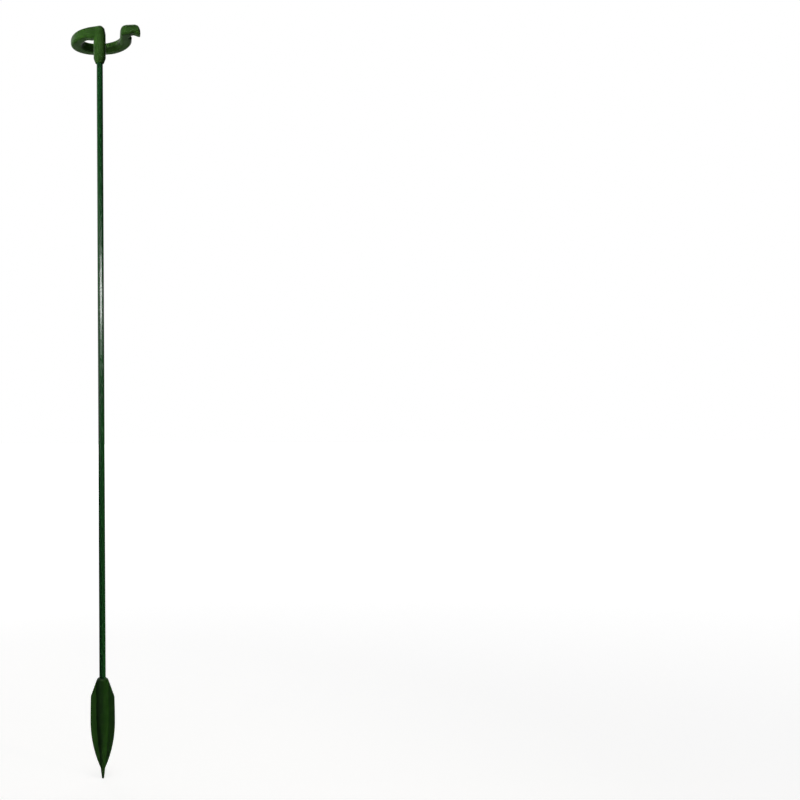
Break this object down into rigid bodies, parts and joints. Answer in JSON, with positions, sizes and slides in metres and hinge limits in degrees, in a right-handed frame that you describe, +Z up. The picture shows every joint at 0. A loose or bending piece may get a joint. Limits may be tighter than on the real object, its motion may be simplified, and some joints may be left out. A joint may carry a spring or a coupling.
{
  "type": "plant stake",
  "caption": "Slim coated-steel plant stake with a leaf-shaped winged ground spike and a push-on open ring that holds a flower stem beside the rod.",
  "frame": {"origin": "on the rod's axis at the top of the spike's collar, which the soil reaches when the spike is pushed right in", "axes": "+Z up along the rod, +Y from the rod towards the middle of the ring, +X towards the ring's mouth"},
  "size_m": [0.0375, 0.0333, 0.4007],
  "materials": {
    "core_steel": "drawn wire with sawn ends",
    "rod_coating": "glossy extruded dark green coating",
    "spike_plastic": "satin moulded dark green plastic",
    "clip_plastic": "satin moulded dark green plastic"
  },
  "bodies": {
    "spike": {"ground_spike": "spike_plastic"},
    "rod": {"steel_core": "core_steel", "rod_jacket": "rod_coating"},
    "head": {"clip_socket": "clip_plastic"},
    "arm": {"clip_arm": "clip_plastic"}
  },
  "joints": [
    {"name": "rod_pull", "type": "slide", "parent": "spike", "child": "rod", "axis": [0, 0, 1], "range_m": [0, 0.018]},
    {"name": "head_swivel", "type": "hinge", "parent": "rod", "child": "head", "pos_m": [0, 0, 0.334], "axis": [0, 0, 1], "continuous": true},
    {"name": "ring_flex", "type": "hinge", "parent": "head", "child": "arm", "pos_m": [-0.00448, 0.02599, 0.34382], "axis": [-0.0401, 0, 0.9992], "range_deg": [-6, 12], "stiffness_Nm_per_rad": 0.8}
  ]
}
